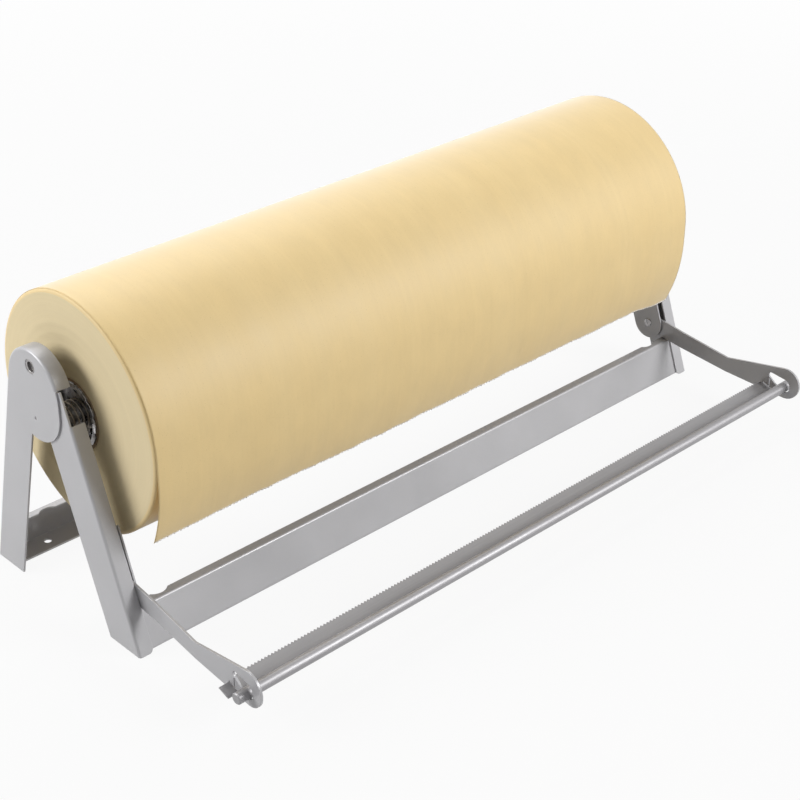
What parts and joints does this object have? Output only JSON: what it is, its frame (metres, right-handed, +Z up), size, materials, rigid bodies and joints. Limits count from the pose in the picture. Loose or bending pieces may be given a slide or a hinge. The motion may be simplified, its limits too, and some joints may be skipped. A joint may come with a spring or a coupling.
{
  "type": "countertop paper roll cutter",
  "caption": "Counter stand that holds a wide roll of kraft paper between sheet-metal end frames, with a swinging serrated cutter and rod in front.",
  "frame": {"origin": "on the counter, at the centre of the four mounting holes", "axes": "+X along the roll to its right end, +Y to the rear, +Z up; the cutter and the paper end are on the -Y side"},
  "size_m": [0.6636, 0.3305, 0.2632],
  "materials": {
    "frame_paint": "light grey satin powder coat",
    "cutter_paint": "light grey satin powder coat",
    "blade_steel": "satin",
    "rod_steel": "satin drawn bar",
    "zinc": "bright zinc plate",
    "spring_steel": "plated wire",
    "core_board": "grey-brown chipboard",
    "kraft_paper": "natural kraft, matt"
  },
  "bodies": {
    "frame": {"left_front_leg": "frame_paint", "right_front_leg": "frame_paint", "left_rear_leg": "frame_paint", "right_rear_leg": "frame_paint", "front_rail": "frame_paint", "rear_rail": "frame_paint", "left_leg_eyelet": "zinc", "right_leg_eyelet": "zinc", "left_leg_dowel": "zinc", "right_leg_dowel": "zinc", "left_pivot_bracket": "frame_paint", "right_pivot_bracket": "frame_paint", "left_arm_pin": "zinc", "right_arm_pin": "zinc", "left_hub_axle": "zinc", "right_hub_axle": "zinc", "left_axle_washer": "zinc", "right_axle_washer": "zinc", "left_axle_clip": "zinc", "right_axle_clip": "zinc", "left_hub_spring": "spring_steel", "right_hub_spring": "spring_steel"},
    "roll": {"core_tube": "core_board", "paper_roll": "kraft_paper", "paper_tail": "kraft_paper"},
    "left_plug": {"left_hub": "zinc"},
    "right_plug": {"right_hub": "zinc"},
    "cutter": {"left_cutter_arm": "cutter_paint", "right_cutter_arm": "cutter_paint", "cutter_blade": "blade_steel"},
    "rod": {"paper_rod": "rod_steel"}
  },
  "joints": [
    {"name": "cutter_swing", "type": "hinge", "parent": "frame", "child": "cutter", "pos_m": [0, -0.05968, 0.046], "axis": [-1, 0, 0], "range_deg": [0, 75]},
    {"name": "rod_lift", "type": "slide", "parent": "cutter", "child": "rod", "axis": [0, 0, 1], "range_m": [0, 0.0035]},
    {"name": "roll_spin", "type": "hinge", "parent": "frame", "child": "roll", "pos_m": [0, -0.00237, 0.1643], "axis": [1, 0, 0], "continuous": true},
    {"name": "left_plug_slide", "type": "slide", "parent": "roll", "child": "left_plug", "axis": [-1, 0, 0], "range_m": [0, 0.01], "stiffness_N_per_m": 900, "springref_m": -0.004, "deforming": ["left_hub_spring"]},
    {"name": "right_plug_slide", "type": "slide", "parent": "roll", "child": "right_plug", "axis": [1, 0, 0], "range_m": [0, 0.01], "stiffness_N_per_m": 900, "springref_m": -0.004, "deforming": ["right_hub_spring"]}
  ]
}
